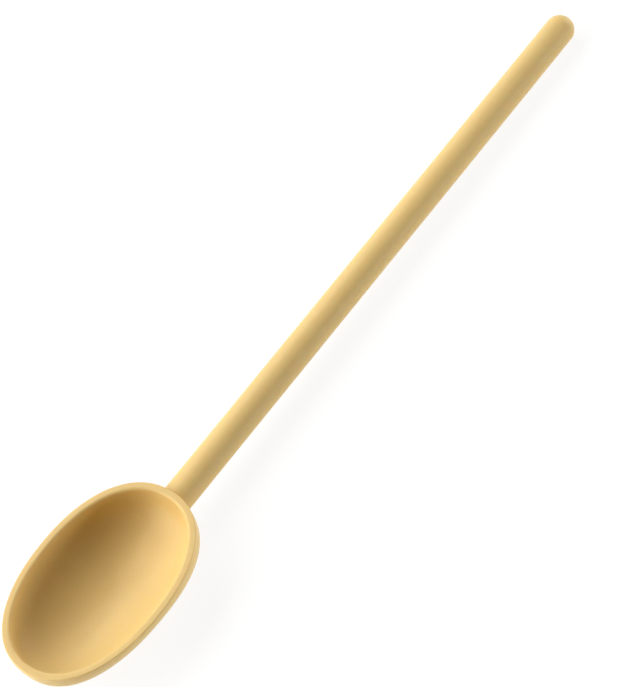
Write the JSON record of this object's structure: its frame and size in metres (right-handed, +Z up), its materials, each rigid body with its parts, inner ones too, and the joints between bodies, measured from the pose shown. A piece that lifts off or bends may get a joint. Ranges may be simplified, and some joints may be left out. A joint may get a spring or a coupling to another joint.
{
  "type": "cooking spoon",
  "caption": "Cooking spoon with a deep oval bowl, a narrow flat rim and a straight round handle with a half-round end, for stirring and serving hot food.",
  "frame": {"origin": "on the table under the middle of the spoon, which lies on its back and touches the table with the bowl and the end of the handle", "axes": "+X from the tip of the bowl to the end of the handle, +Y across the bowl, +Z up out of the bowl"},
  "size_m": [0.2998, 0.049, 0.0192],
  "materials": {
    "composite": "satin moulded glass-filled polyamide, tan"
  },
  "bodies": {
    "root": {"bowl": "composite", "handle": "composite"}
  },
  "joints": []
}
